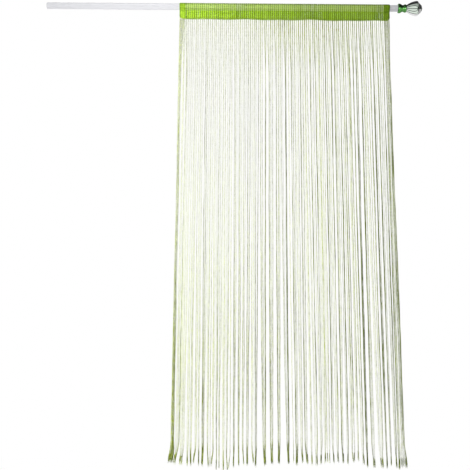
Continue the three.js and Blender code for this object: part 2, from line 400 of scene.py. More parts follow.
def addWorld():  # white behind everything, and a softer studio for light and reflections
    world = bpy.data.worlds.new("studio")
    bpy.context.scene.world = world
    world.use_nodes = True
    tree = world.node_tree
    tree.nodes.clear()
    direction = place(tree, "ShaderNodeTexCoord").outputs["Generated"]
    parts = place(tree, "ShaderNodeSeparateXYZ", {"Vector": direction}).outputs

    def ranged(value, start, end, low=0.0, high=1.0):
        inputs = {"Value": value, "From Min": start, "From Max": end, "To Min": low, "To Max": high}
        return place(tree, "ShaderNodeMapRange", inputs)

    back = ranged(parts["Y"], *studio["behindFrom"])
    front = ranged(parts["Z"], *studio["aheadHeights"], *studio["ahead"])
    ray = place(tree, "ShaderNodeLightPath").outputs
    level = blendValues(tree, ray["Is Diffuse Ray"], 1.0, studio["ambient"])
    dim = blendValues(tree, back, front, studio["behind"])
    dim = calculate(tree, "MULTIPLY", dim, level)
    dim = calculate(tree, "MULTIPLY_ADD", ray["Is Transmission Ray"], studio["throughGlass"], dim)
    soft = place(tree, "ShaderNodeBackground", {"Color": (1, 1, 1, 1), "Strength": dim})
    white = place(tree, "ShaderNodeBackground", {"Color": (1, 1, 1, 1), "Strength": 1.0})
    both = place(tree, "ShaderNodeMixShader", {0: ray["Is Camera Ray"], 1: soft, 2: white})
    place(tree, "ShaderNodeOutputWorld", {"Surface": both})


for lampName, row in lamps.items():
    addLight(lampName, dict(zip(lampColumns, row)))
addFloor()
addWorld()
bpy.context.scene.view_settings.view_transform = "Standard"
bpy.context.scene.view_settings.look = "None"
print("stage: studio lit")


def dress(piece, slot, node):
    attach(piece, "root")
    if slot in litBy:
        lit[litBy[slot]].objects.link(piece)
    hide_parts(node)


# Turned and cut pieces along X

def roundPoint(along, radius, angle):
    return Vector((along, -radius * math.cos(angle), -radius * math.sin(angle)))


def closedFaces(rings, sides):  # from ring to ring, and from the end rings to the last two points
    faces = []
    for row in range(rings - 1):
        for i in range(sides):
            a = row * sides + i
            b = row * sides + (i + 1) % sides
            faces.append((a, a + sides, b + sides, b))
    last = (rings - 1) * sides
    for i in range(sides):
        j = (i + 1) % sides
        faces += [(last + sides, i, j), (last + sides + 1, last + j, last + i)]
    return faces


def turnedPiece(name, profile, sides, material):
    ends = profile[0], profile[-1]
    rings = profile[1:-1]
    angles = [2 * math.pi * i / sides for i in range(sides)]
    points = [roundPoint(along, radius, angle) for along, radius in rings for angle in angles]
    points += [(along, 0, 0) for along, _ in ends]
    piece = addMesh(name, points, [], closedFaces(len(rings), sides))
    piece.data.polygons.foreach_set("use_smooth", [True] * len(piece.data.polygons))
    piece.data.materials.append(material)
    return piece


def curved(profile, steps):  # a smooth line through the points, without overshoot
    slopes = []
    for i, (along, radius) in enumerate(profile):
        before = profile[max(0, i - 1)]
        after = profile[min(len(profile) - 1, i + 1)]
        rise = (after[1] - before[1]) / (after[0] - before[0])
        turning = (radius - before[1]) * (after[1] - radius) <= 0 and 0 < i < len(profile) - 1
        slopes.append(0 if turning else rise)
    line = []
    for (start, slopeA), (end, slopeB) in zip(zip(profile, slopes), zip(profile[1:], slopes[1:])):
        run = end[0] - start[0]
        for step in range(steps):
            t = step / steps
            radius = (
                (2 * t**3 - 3 * t**2 + 1) * start[1] + (t**3 - 2 * t**2 + t) * run * slopeA
                + (3 * t**2 - 2 * t**3) * end[1] + (t**3 - t**2) * run * slopeB
            )
            line.append((start[0] + t * run, radius))
    return [*line, profile[-1]]


# Pole

poleLow, poleHigh = boxInMm("pole")
pole = {
    "start": poleLow.x,
    "end": poleHigh.x,
    "radius": poleHigh.z,
    "bevel": 0.8,
    "bevelSteps": 4,
    "sides": 96,
    "look": {
        "Base_Color": srgb(206, 206, 210), "Metallic": 0.0,
        "wear": {"Clean": 0.4, "Worn": 0.55, "Scale": 60.0, "Stretch": (0.15, 1.0, 1.0)},
        "bump": (0.25, 0.02),  # strength and depth
    },
}


def makePole():
    bevel, steps = pole["bevel"], pole["bevelSteps"]
    inner = pole["radius"] - bevel
    profile = [(pole["start"], 0), (pole["start"], inner)]
    for end, side in ((pole["start"], 1), (pole["end"], -1)):
        arc = []
        for i in range(steps + 1):
            angle = math.pi / 2 * i / steps
            inward = bevel * (1 - math.sin(angle))
            arc.append((end + side * inward, pole["radius"] - bevel * (1 - math.cos(angle))))
        profile += arc[::-1][1:] if side > 0 else arc[:-1]
    profile += [(pole["end"], inner), (pole["end"], 0)]
    piece = turnedPiece("pole_tube", profile, pole["sides"], hardMaterial("satinSteel", **pole["look"]))
    dress(piece, "pole_steel", "pole")
    return piece


poleTube = makePole()


# Finial

neckLow, neckHigh = boxInMm("finial_neck")
neck = {
    "start": neckLow.x,
    "waist": [  # rows of the way along from the start, and the radius there
        (0, 17.5), (1.2, 19.8), (4.5, 20.7), (9.5, 20.2), (13.5, 18.2), (18, 15.6), (22, 14.7),
        (25.5, 15.4), (28.5, 17.2), (31.5, 18), (34.5, 17.7), (neckHigh.x - neckLow.x, 16.6),
    ],
    "cupRadius": 15.2,
    "cupDepth": 3,
    "sides": 96,
    "steps": 5,
    "sharp": 50,  # rims with a greater angle keep a crisp edge
    "look": {
        "Base_Color": srgb(92, 152, 80), "Metallic": 1.0,
        "wear": {"Clean": 0.04, "Worn": 0.12, "Scale": 90.0, "Stretch": (1.0, 1.0, 1.0)},
        "bump": (0.05, 0.02),
    },
}


def makeNeck():
    length = neck["waist"][-1][0]
    bottom = length - neck["cupDepth"]
    cup = [(length, neck["cupRadius"]), (bottom, neck["cupRadius"]), (bottom, 0)]
    rows = [(0, 0), *curved(neck["waist"], neck["steps"]), *cup]
    profile = [(neck["start"] + along, radius) for along, radius in rows]
    chrome = hardMaterial("polishedChrome", **neck["look"])
    piece = turnedPiece("finial_neck_turned", profile, neck["sides"], chrome)
    piece.modifiers.new("sharp rims", "EDGE_SPLIT").split_angle = math.radians(neck["sharp"])
    dress(piece, "neck_chrome", "finial_neck")


crystal = {
    "start": boxInMm("finial_crystal")[0].x,
    "sides": 8,
    "turn": 28,
    "steps": 3,
    "chamfer": 1.5,  # taken off each ridge, on both sides
    "mostChamfer": 0.2,  # of a side
    # rows of the way along from the start, and the radius of the ridges there
    "body": [(0, 13.4), (0.6, 14), (3.4, 14.6), (11, 19.8), (24, 26.7), (37, 31), (47, 33)],
    "girdle": (53, 32),
    "point": [(58.5, 28), (65.2, 20), (69.6, 14.5), (73.8, 5)],
    "paintedShadeRing": 1,  # the point's row where the painted shade starts: a dark band round the tip in place of the darkness that refraction shows there
    "apex": 75.5,
    "looks": {
        "clearCrystal": {"Base_Color": srgb(224, 236, 224), "Transmission_Weight": 1.0, "IOR": 1.5},
        # opaque dark colour on the ridges and the band round the point: painted shade for the dark lines
        # that refraction and reflection show in clear cut glass
        "crystalRidgePaintedShade": {"Base_Color": srgb(64, 80, 68), "Transmission_Weight": 0.0, "IOR": 1.15},
    },
    "wear": {"Clean": 0.0, "Worn": 0.04, "Scale": 50.0},
    "bump": (0.1, 0.1),
}


def crystalRing(along, radius):  # two points at each ridge, one on either side of it
    corners = []
    for i in range(crystal["sides"]):
        angle = 2 * math.pi * i / crystal["sides"] + math.radians(crystal["turn"])
        corners.append(roundPoint(crystal["start"] + along, radius, angle))
    ring = []
    for i, corner in enumerate(corners):
        for other in (corners[i - 1], corners[(i + 1) % len(corners)]):
            side = (other - corner).length
            ring.append(corner.lerp(other, min(crystal["chamfer"], crystal["mostChamfer"] * side) / side))
    return ring


def makeCrystal():
    rows = [*curved(crystal["body"], crystal["steps"]), crystal["girdle"], *crystal["point"]]
    paintedShadeRow = crystal["point"][crystal["paintedShadeRing"]]
    points = [point for row in rows for point in crystalRing(*row)]
    points += [(crystal["start"] + along, 0, 0) for along in (0, crystal["apex"])]
    count = 2 * crystal["sides"]
    piece = addMesh("finial_crystal_cut", points, [], closedFaces(len(rows), count))
    # material 1, painted shade: the chamfer along each ridge, and the band of faces from the point's dark
    # row on
    ridges = [int(i % 2 == 0 or row == paintedShadeRow) for row in rows[:-1] for i in range(count)]
    for name, look in crystal["looks"].items():
        piece.data.materials.append(hardMaterial(name, crystal["wear"], crystal["bump"], **look))
    piece.data.polygons.foreach_set("material_index", ridges + [0] * 2 * count)
    dress(piece, "crystal_glass", "finial_crystal")


makeNeck()
makeCrystal()
print("stage: pole and finial made")


# Header band: where its cloth runs

bandLow, bandHigh = boxInMm("header_band")
curtain = {
    "left": bandLow.x,
    "right": bandHigh.x,
    "width": bandHigh.x - bandLow.x,
    "top": bandHigh.z,
    "drop": 1950,
    "seatGap": 0.3,  # between pieces that rest on each other
}

band = {
    "cloth": 1.3,
    "height": 70,
    "clear": 0.05,  # between the cloth's inside and what it rests on, beside the seat gap
    "slack": 1.2,  # of the loop, in front of the pole and behind it
    "seamDrop": 18.5,
    "seamGrip": 0.7,  # of the cloth's thickness, from the seam down to where both layers touch
    "hemWidth": 26,
    "turnIn": 0.6,  # extra thickness there
    "blend": 1.5,  # width over which it ends
    "arcSteps": 24,
    # how far out each layer lies, in half thicknesses: at the seam, in mid tail, over the edge and at it
    "tail": (0.9, 1.12, 1.05, 0.75),
    "midTail": 0.45,  # of the way down
    "overEdge": 2,  # thicknesses above it
}

# The lower edge: nearly level, with its two corners drawn up
lowerHem = {
    "fall": 1.5,
    "leftRise": 9, "leftWidth": 19, "leftCurl": 2.5,
    "rightRise": 8, "rightWidth": 13,
    "ripples": [(0.9, 3.6, 0), (0.7, 6.5, 0.2)],  # height, waves, start
    "swings": [(1.1, 2.7, 0.1), (0.8, 5.9, 0)],
}

loopRadius = pole["radius"] + curtain["seatGap"] + band["clear"]
bandBottom = curtain["top"] - band["height"]
meanTip = curtain["top"] - curtain["drop"]
seamIndex = band["arcSteps"] + 1  # of the sewn point on a half line


def sumOfWaves(rows, across):
    return sum(height * math.sin(2 * math.pi * (waves * across + start)) for height, waves, start in rows)


def nearLeft(x):
    return 1 - smooth(curtain["left"], curtain["left"] + lowerHem["leftWidth"], x)


def nearRight(x):
    return smooth(curtain["right"] - lowerHem["rightWidth"], curtain["right"], x)


def fromEnd(x):
    return min(x - curtain["left"], curtain["right"] - x)


def acrossAt(x):
    return (x - curtain["left"]) / curtain["width"]


def lowerEdge(x):
    across = acrossAt(x)
    corners = lowerHem["leftRise"] * nearLeft(x) + lowerHem["rightRise"] * nearRight(x)
    return bandBottom - lowerHem["fall"] * across + sumOfWaves(lowerHem["ripples"], across) + corners


def edgeSwing(x):
    return sumOfWaves(lowerHem["swings"], acrossAt(x)) + lowerHem["leftCurl"] * nearLeft(x)


def clothAt(x):
    inHem = 1 - smooth(band["hemWidth"], band["hemWidth"] + band["blend"], fromEnd(x))
    return band["cloth"] + band["turnIn"] * inHem


def halfLine(x, outward):  # (y, z, swing) from the top of the loop down the back to the lower edge
    half = clothAt(x) / 2
    middle = half + outward
    wide = pole["radius"] + band["slack"] + middle
    lowest = math.acos(loopRadius / band["seamDrop"]) - math.pi / 2
    points = []
    for angle in spread(math.pi / 2, lowest, band["arcSteps"]):
        points.append((wide * math.cos(angle), (loopRadius + middle) * math.sin(angle), 0.0))
    bottom = lowerEdge(x)
    sewn = -band["seamDrop"] - band["seamGrip"] * band["cloth"]
    overEdge = bottom + band["overEdge"] * band["cloth"]
    heights = (sewn, mix(sewn, bottom, band["midTail"]), overEdge, bottom)
    for share, z in zip(band["tail"], heights):
        down = held((-band["seamDrop"] - z) / (-band["seamDrop"] - bottom))
        points.append((share * half + outward, z, edgeSwing(x) * down))
    return points


def clothLine(x, side, outward=0.0):  # lengths and (y, z) along one side, front is -1
    points = [(side * y + swing, z) for y, z, swing in halfLine(x, outward)]
    lengths = [0.0]
    for (y0, z0), (y1, z1) in zip(points, points[1:]):
        lengths.append(lengths[-1] + math.hypot(y1 - y0, z1 - z0))
    return lengths, points


def pointAlong(lengths, points, target):  # and the way that the line runs there
    for i in range(1, len(lengths)):
        if lengths[i] >= target or i == len(lengths) - 1:
            share = (target - lengths[i - 1]) / (lengths[i] - lengths[i - 1])
            (y0, z0), (y1, z1) = points[i - 1], points[i]
            return mix(y0, y1, share), mix(z0, z1, share), y1 - y0, z1 - z0


# Yarn made into tubes along its lines

def tubeTree():
    tree, given, result = newTree(
        "yarnTube", "GeometryNodeTree",
        {"Curve": "Geometry", "Thickness": 0.001, "Flatness": 1.0, "Sides": 5, "Girth": 1.0},
        {"Mesh": "Geometry"},
    )
    length = place(tree, "GeometryNodeSplineParameter").outputs["Length"]
    measured = store(tree, given["Curve"], "alongYarn", length)
    circle = place(tree, "GeometryNodeCurvePrimitiveCircle", {"Resolution": given["Sides"], "Radius": 1.0})
    spot = place(tree, "GeometryNodeInputPosition")
    marked = store(tree, circle, "roundYarn", spot, "FLOAT_VECTOR")
    radius = calculate(tree, "MULTIPLY", given["Thickness"], 0.5)
    flat = calculate(tree, "MULTIPLY", radius, given["Flatness"])
    size = place(tree, "ShaderNodeCombineXYZ", {0: radius, 1: flat, 2: 1.0})
    profile = place(tree, "GeometryNodeTransform", {"Geometry": marked, "Scale": size})
    tube = place(tree, "GeometryNodeCurveToMesh", {
        "Curve": measured, "Profile Curve": profile, "Scale": given["Girth"], "Fill Caps": True,
    })
    soft = place(tree, "GeometryNodeSetShadeSmooth", {0: tube, "Shade Smooth": True})
    feed(tree, result["Mesh"], soft)
    return tree


yarnTube = tubeTree()


def addTube(tree, curve, given, girth=1.0):
    inputs = {label: given[label] for label in ("Thickness", "Flatness", "Sides")}
    return place(tree, "GeometryNodeGroup", {"Curve": curve, "Girth": girth, **inputs}, node_tree=yarnTube)


def finishTree(tree, result, geometry, material):
    real = place(tree, "GeometryNodeRealizeInstances", {"Geometry": geometry})
    dressed = place(tree, "GeometryNodeSetMaterial", {"Geometry": real, "Material": material})
    feed(tree, result["Geometry"], dressed)
    return tree


noiseSteps = {"lot": 7.31, "seed": 31.7}  # from one yarn's waver to the next one's


def hangingTree():  # lines into yarn that wavers and twists on itself
    tree, given, result = newTree(
        "hangingYarn", "GeometryNodeTree",
        {
            "Lines": "Geometry", "Thickness": 0.001, "Flatness": 1.0, "Sides": 5, "Waver": 0.0,
            "Waver Length": 0.1, "Twist": 0.0, "Turned": 1.0, "Seed": 1, "Yarn": "Material",
        },
        {"Geometry": "Geometry"},
    )
    curve = place(tree, "GeometryNodeMeshToCurve", {"Mesh": given["Lines"]})
    where = place(tree, "ShaderNodeSeparateXYZ", {0: place(tree, "GeometryNodeInputPosition")})
    height = calculate(tree, "DIVIDE", where.outputs["Z"], given["Waver Length"])
    seed = calculate(tree, "MULTIPLY", given["Seed"], noiseSteps["seed"])
    lot = calculate(tree, "MULTIPLY", named(tree, "lot"), noiseSteps["lot"])
    lot = calculate(tree, "ADD", lot, seed)
    spot = place(tree, "ShaderNodeCombineXYZ", {0: lot, 2: height})
    noise = place(tree, "ShaderNodeTexNoise", {"Vector": spot, "Scale": 1.0, "Detail": 1.5})
    centred = calculateVector(tree, "SUBTRACT", noise.outputs["Color"], (0.5, 0.5, 0.5))
    reach = calculate(tree, "MULTIPLY", given["Waver"], named(tree, "loose"))
    level = place(tree, "ShaderNodeCombineXYZ", {0: reach, 1: reach, 2: 0.0})
    offset = calculateVector(tree, "MULTIPLY", centred, level)
    moved = place(tree, "GeometryNodeSetPosition", {"Geometry": curve, "Offset": offset})
    length = place(tree, "GeometryNodeSplineParameter").outputs["Length"]
    started = calculate(tree, "MULTIPLY", lot, given["Turned"])
    turn = calculate(tree, "MULTIPLY", length, given["Twist"])
    turn = calculate(tree, "MULTIPLY_ADD", turn, 2 * math.pi, started)
    tilted = place(tree, "GeometryNodeSetCurveTilt", {"Curve": moved, "Tilt": turn})
    tube = addTube(tree, tilted, given, named(tree, "girth"))
    return finishTree(tree, result, tube, given["Yarn"])


hangingYarn = hangingTree()
yarnLabels = ("tone", "lot", "loose", "girth", "stretch")  # what each point of a hanging line says


# Knitted band: laid-in yarns in groups, held by rows of chain stitches

knit = {
    "ribWidth": 8.75,  # a dark and a pale pair of yarns
    "ribStart": 2.3,
    "ribTone": (0.65, -1.0),  # of the dark and the pale yarns
    "ribScatter": 0.5,
    "linksFrom": -2,  # the rib where the rows of links start
    "linksOver": 104,  # ribs that they cover
    "linkShare": 0.4995,  # two links lie over each rib
    "linkShift": 0.08,  # of a link's length
    "steps": 120,  # along a row of links
    "look": {
        "pale": srgb(168, 206, 52), "deep": srgb(84, 112, 10), "shadow": srgb(52, 74, 4),
        "washed": srgb(178, 194, 124), "gloss": 0.15, "sheen": 0.06,
        "plied": {"Plies": 2.0, "Turns": 160.0, "Fuzz": 0.5}, "patches": (60, 60, 60),
        "uneven": 0.9, "groove": 0.45, "bump": 0.8, "depth": 0.35,
    },
    "stretchedPale": (0.25, 0.62),  # share of washed-out colour round the pole, dark and pale yarns
}
knitYarn = yarnMaterial("knitYarn", knit["look"])

ribWidth = knit["ribWidth"]
quarterRib = ribWidth / 4
innerLeft = curtain["left"] + band["hemWidth"]
innerRight = curtain["right"] - band["hemWidth"]
ribStart = innerLeft + knit["ribStart"] - ribWidth
linkLength = knit["linkShare"] * ribWidth
chainStart = ribStart + knit["linksFrom"] * ribWidth + knit["linkShift"] * linkLength
chainEnd = chainStart + knit["linksOver"] * ribWidth

laid = {  # the laid-in yarns
    "inRib": 4,
    "drawn": 0.1,  # of each rib's yarns towards its middle
    "uneven": 0.15,
    "hemPitch": 1.3,
    "hemLayers": ((0.3, 0.25), (0.8, -0.45)),  # share of the pitch, and how far out
    "skew": 9.6,  # sideways step of the back layer over the pole
    "skewRun": 60,  # from the left hem on
    "paintedFoldShade": (0.8, 2.4),  # deeper colour on the fold: painted shade over the top of the pole, where little light reaches, at the left and on from there
    # the painted fold shade deepens from left to right, where the light grazes
    "foldAcross": (0.03, 0.3),
    "foldDown": (14, 23),  # length from the top
    # width of the painted fold shade on the turned ends of the hems
    "hemFold": 3,
    "paintedEdgeShade": (0.6, 4),  # share of the painted fold shade at the lower edge, and its width
    "tailTones": (0.0, 0.6),  # and below the seam, at the left and at the right
    "tailAcross": (0.2, 0.7),
    "hemTone": 0.45,
    "yarnScatter": 0.4,
    "tight": (0.85, 1.02),  # where the stretch ends, as a share of the length to the seam
    "foldUnwashed": 0.8,  # how far the painted fold shade keeps its deep colour
    "halfRings": 20,
    "yarn": {
        "Thickness": 1.9, "Flatness": 0.42, "Sides": 4, "Waver": 0.5, "Waver Length": 12,
        "Twist": 0.0, "Turned": 0.0, "Seed": 2,
    },
}


def laidInPlaces():  # x of each laid-in yarn, how deep its layer lies, and its tone
    hem = band["hemWidth"]
    places = []
    for n in range(round((curtain["width"] - 2 * hem) / ribWidth * laid["inRib"])):
        x = innerLeft + (n + 0.5) * ribWidth / laid["inRib"]
        rib = math.floor((x - ribStart) / ribWidth)
        share = (x - ribStart) / ribWidth - rib
        half = 0 if share < 0.5 else 1
        x += laid["drawn"] * (0.5 - share) * ribWidth + laid["uneven"] * scatter(n, "yarnPlace")
        tone = knit["ribTone"][half] + knit["ribScatter"] * scatter(rib, ("darkHalf", "paleHalf")[half])
        places.append((x, 0.0, tone))
    perHem = int(hem / laid["hemPitch"])
    for i in range(perHem):
        for shift, depth in laid["hemLayers"]:
            step = (i + shift) * hem / perHem
            # the hem's turned end in painted fold shade
            turned = laid["paintedFoldShade"][0] * (1 - smooth(0, laid["hemFold"], step)) + laid["hemTone"]
            places.append((curtain["left"] + step, depth, turned))
            places.append((curtain["right"] - step, depth, turned))
    return places


def laidInPath(x, depth):  # points from the front edge over the pole to the back edge, tightness, and share of painted fold and edge shade
    inner = fromEnd(x) > band["hemWidth"]
    skew = laid["skew"] * smooth(0, laid["skewRun"], x - innerLeft) if inner else 0
    edgeShare, edgeWidth = laid["paintedEdgeShade"]
    path = []
    for side in (-1, 1):
        lengths, cloth = clothLine(x, side, depth)
        toSeam, toEdge = lengths[seamIndex], lengths[-1]
        tightEnds = [share * toSeam for share in laid["tight"]]
        half = []
        for i in range(laid["halfRings"] + 1):
            stop = toEdge * i / laid["halfRings"]
            y, z = pointAlong(lengths, cloth, stop)[:2]
            shift = skew * smooth(0, toSeam, stop) if side > 0 else 0
            tight = 1 - smooth(*tightEnds, stop) if inner else 0
            # painted shade along the lower edge
            inPaintedShade = edgeShare * smooth(toEdge - edgeWidth, toEdge, stop)
            half.append(((x + shift, y, z), tight, max(1 - smooth(*laid["foldDown"], stop), inPaintedShade)))
        path = half[::-1] if side < 0 else path + half[1:]
    return path


def makeLaidIn():
    lines = []
    for n, (x, depth, shade) in enumerate(laidInPlaces()):
        washed = mix(*knit["stretchedPale"], 1 if shade < 0 else 0)
        # painted shade on the fold and along the lower edge, deeper towards the right
        foldShadeTone = mix(*laid["paintedFoldShade"], smooth(*laid["foldAcross"], acrossAt(x)))
        inTail = mix(*laid["tailTones"], smooth(*laid["tailAcross"], acrossAt(x)))
        line = []
        for point, tight, fold in laidInPath(x, depth):
            tone = shade + laid["yarnScatter"] * scatter(n, "yarnTone")
            tone += foldShadeTone * fold + inTail * (1 - tight)
            stretch = washed * tight * (1 - laid["foldUnwashed"] * fold)
            line.append((point, tone, float(n), 1.0, 1.0, stretch))
        lines.append(line)
    return grow(wiredPiece("band_laid_in_yarn", yarnLabels, lines), hangingYarn, knitYarn, laid["yarn"])


linkShape = {  # of one leg: shares of the link's length, its height and the yarn's thickness
    "Start": (-0.15, 0.42, 0.0),
    "Middle": (0.45, 0.62, 0.35),
    "End": (1.0, 0.05, 0.35),
}


def chainLink(tree, given):
    both = place(tree, "GeometryNodeJoinGeometry")
    for side in (1, -1):
        corners = {}
        for label, (ahead, aside, raised) in linkShape.items():
            corners[label] = place(tree, "ShaderNodeCombineXYZ", {
                0: calculate(tree, "MULTIPLY", given["Link Length"], ahead),
                1: calculate(tree, "MULTIPLY", given["Link Height"], aside * side),
                2: calculate(tree, "MULTIPLY", given["Thickness"], raised),
            })
        leg = place(tree, "GeometryNodeCurveQuadraticBezier", {"Resolution": 2, **corners})
        feed(tree, both.inputs[0], leg)
    return addTube(tree, both, given)


def chainTree():  # lines into rows of chain stitches
    tree, given, result = newTree(
        "chainRows", "GeometryNodeTree",
        {
            "Lines": "Geometry", "Link Length": 0.004, "Link Height": 0.003, "Thickness": 0.001,
            "Flatness": 0.8, "Sides": 3, "Unevenness": 0.1, "Shade": 0.0, "Wale Shade": 0.0,
            "Wale Start": 0.0, "Wale Width": 0.01, "Seed": 1, "Yarn": "Material",
        },
        {"Geometry": "Geometry"},
    )
    curve = place(tree, "GeometryNodeMeshToCurve", {"Mesh": given["Lines"]})
    spaced = place(tree, "GeometryNodeResampleCurve", {
        "Curve": curve, "Length": given["Link Length"],
    }, mode="LENGTH")
    axes = {
        "Primary Axis": named(tree, "facing", "FLOAT_VECTOR"),
        "Secondary Axis": place(tree, "GeometryNodeInputTangent"),
    }
    rotation = place(tree, "FunctionNodeAxesToRotation", axes, primary_axis="Z", secondary_axis="X")
    limits = {"Min": -1.0, "Max": 1.0, "Seed": given["Seed"]}
    jitter = place(tree, "FunctionNodeRandomValue", limits, data_type="FLOAT")
    grown = calculate(tree, "MULTIPLY_ADD", jitter, given["Unevenness"], 1.0)
    scale = place(tree, "ShaderNodeCombineXYZ", {0: 1.0, 1: grown, 2: grown})
    scale = place(tree, "ShaderNodeVectorMath", {0: scale, "Scale": named(tree, "girth")}, operation="SCALE")
    stitched = place(tree, "GeometryNodeInstanceOnPoints", {
        "Points": spaced, "Instance": chainLink(tree, given), "Rotation": rotation, "Scale": scale,
    })
    spot = place(tree, "ShaderNodeSeparateXYZ", {0: place(tree, "GeometryNodeInputPosition")})
    wale = calculate(tree, "SUBTRACT", spot.outputs["X"], given["Wale Start"])
    wale = calculate(tree, "FRACT", calculate(tree, "DIVIDE", wale, given["Wale Width"]))
    wale = calculate(tree, "SUBTRACT", calculate(tree, "LESS_THAN", wale, 0.5), 0.5)
    waleShade = calculate(tree, "MULTIPLY", given["Wale Shade"], 2.0)
    shade = calculate(tree, "MULTIPLY_ADD", jitter, 0.5, given["Shade"])
    shade = calculate(tree, "ADD", shade, named(tree, "rowShade"))
    shade = calculate(tree, "MULTIPLY_ADD", wale, waleShade, shade)
    toned = store(tree, stitched, "tone", shade, domain="INSTANCE")
    washed = calculate(tree, "MULTIPLY", named(tree, "stretch"), calculate(tree, "SUBTRACT", 1.0, wale))
    toned = store(tree, toned, "stretch", washed, domain="INSTANCE")
    return finishTree(tree, result, toned, given["Yarn"])


chainRows = chainTree()
ribbedLink = {  # stitches in step with the ribs, every second one darker
    "Link Length": linkLength, "Flatness": 0.8, "Sides": 3,
    "Wale Shade": 1.1, "Wale Start": ribStart - quarterRib, "Wale Width": ribWidth,
}

chains = {
    "rowSpacing": 4.86,
    "finer": 0.66,  # size of every second row
    "edgeRow": (0.985, 0.9),  # its share of the tail, and its size
    "foldShadeReach": 17,  # length from the top over which the rows take the painted fold shade
    # edge: painted shade on the rows of the fold and on the lower edge row; bold and fine rows alternate
    "rowTones": {"edge": 1.44, "bold": 0.6, "fine": -0.42},
    "washedUntil": 0.9,  # of the length to the seam
    "lift": 0.55,  # of the chains over the yarns
    "fromTop": 0.01,
    "link": {**ribbedLink, "Link Height": 2.5, "Thickness": 1.0, "Unevenness": 0.12},
}


def facingOut(side, dy, dz):
    return Vector((0, -side * dz, side * dy)).normalized()[:]


def rowStops():  # each row's share of the way from top to seam, then from seam to edge, and its size
    lengths = clothLine(0, 1)[0]
    spacing, finer = chains["rowSpacing"], chains["finer"]
    toSeam = lengths[seamIndex]
    tail = lengths[-1] - toSeam
    above = round(toSeam / spacing)
    rows = [(i / above, 0.0, finer if i % 2 else 1.0) for i in range(above + 1)]
    rows += [(1.0, (i + 1) * spacing / tail, 1.0 if i % 2 else finer) for i in range(int(tail / spacing))]
    return [*rows, (1.0, *chains["edgeRow"])]


def makeChains(name, side, seed):
    lines = []
    for upper, lower, size in rowStops():
        if side > 0 and upper == 0:
            continue
        edgeRow = (lower, size) == chains["edgeRow"]
        shift = chains["rowSpacing"] / 2 if side > 0 and lower > 0 and not edgeRow else 0
        line = []
        for x in spread(chainStart, chainEnd, knit["steps"]):
            lengths, cloth = clothLine(x, side, chains["lift"])
            toSeam = lengths[seamIndex]
            target = upper * toSeam + lower * (lengths[-1] - toSeam) - shift
            y, z, dy, dz = pointAlong(lengths, cloth, max(chains["fromTop"], target))
            inner = innerLeft < x < innerRight
            washed = sum(knit["stretchedPale"]) / 2 if inner and 0 < upper < chains["washedUntil"] else 0.0
            # painted shade: rows near the top of the fold and the lower edge row
            inPaintedShade = edgeRow or upper * toSeam < chains["foldShadeReach"]
            tone = chains["rowTones"]["edge" if inPaintedShade else "bold" if size == 1 else "fine"]
            line.append(((x, y, z), facingOut(side, dy, dz), size, washed, tone))
        lines.append(line)
    piece = wiredPiece(name, ("facing", "girth", "stretch", "rowShade"), lines)
    return grow(piece, chainRows, knitYarn, {**chains["link"], "Seed": seed})


sewing = {
    "over": 0.75,  # the chains
    "seamEnd": 1.5,  # from either end of the band
    "hemFromEnd": 24.3,
    "hemReach": 0.97,  # of the way down
    "hemSize": 0.8,
    "hemSteps": 40,
    "link": {
        "Link Length": 3.4, "Link Height": 0.5, "Thickness": 0.6, "Flatness": 0.9, "Sides": 4,
        # Shade 1.0: the deepest tone on all the sewing thread, which stands in for the shade in the crease
        # under the pole
        "Shade": 1.0, "Unevenness": 0.05, "Seed": 9,
    },
}


def makeSeams():  # the seam under the pole, and the hem stitches at both ends
    lines = []
    lift = chains["lift"] + sewing["over"]
    seamLeft, seamRight = curtain["left"] + sewing["seamEnd"], curtain["right"] - sewing["seamEnd"]
    for side in (-1, 1):
        line = []
        for x in spread(seamLeft, seamRight, knit["steps"]):
            line.append(((x, *clothLine(x, side, lift)[1][seamIndex]), (0.0, float(side), 0.0), 1.0))
        lines.append(line)
        for x in (curtain["left"] + sewing["hemFromEnd"], curtain["right"] - sewing["hemFromEnd"]):
            lengths, cloth = clothLine(x, side, lift)
            line = []
            for i in range(sewing["hemSteps"] + 1):
                target = lengths[-1] * sewing["hemReach"] * i / sewing["hemSteps"]
                y, z, dy, dz = pointAlong(lengths, cloth, max(chains["fromTop"], target))
                line.append(((x, y, z), facingOut(side, dy, dz), sewing["hemSize"]))
            lines.append(line)
    return grow(wiredPiece("band_seams", ("facing", "girth"), lines), chainRows, knitYarn, sewing["link"])


rootRow = {
    "rows": ((1.3, 1.0), (3.9, 0.8)),  # below the band's edge, and size
    "apart": 0.75,  # from the strings' middle
    "tone": 0.4,
    "link": {**ribbedLink, "Link Height": 1.9, "Thickness": 0.9, "Unevenness": 0.15, "Seed": 12},
}


def makeRootRows():  # the fine rows that bind the strings' roots under the band
    lines = []
    for side in (-1, 1):
        for below, size in rootRow["rows"]:
            line = []
            for x in spread(chainStart, chainEnd, knit["steps"]):
                y = edgeSwing(x) + side * rootRow["apart"]
                z = lowerEdge(x) - curtain["seatGap"] - below
                line.append(((x, y, z), (0.0, float(side), 0.0), size, rootRow["tone"]))
            lines.append(line)
    piece = wiredPiece("string_root_rows", ("facing", "girth", "rowShade"), lines)
    return grow(piece, chainRows, knitYarn, rootRow["link"])


laidIn = makeLaidIn()
rootRows = makeRootRows()
seams = makeSeams()
chainsFront = makeChains("band_chains_front", -1, 3)
chainsBack = makeChains("band_chains_back", 1, 4)
for piece in (laidIn, chainsFront, chainsBack, seams):
    dress(piece, "band_knit", "header_band")
dress(rootRows, "band_knit", "string_fringe")
print("stage: band knitted", *[len(piece.data.polygons) for piece in (laidIn, chainsFront, chainsBack)])


# Strings: where each of them hangs. A pair of values is for the left and the right

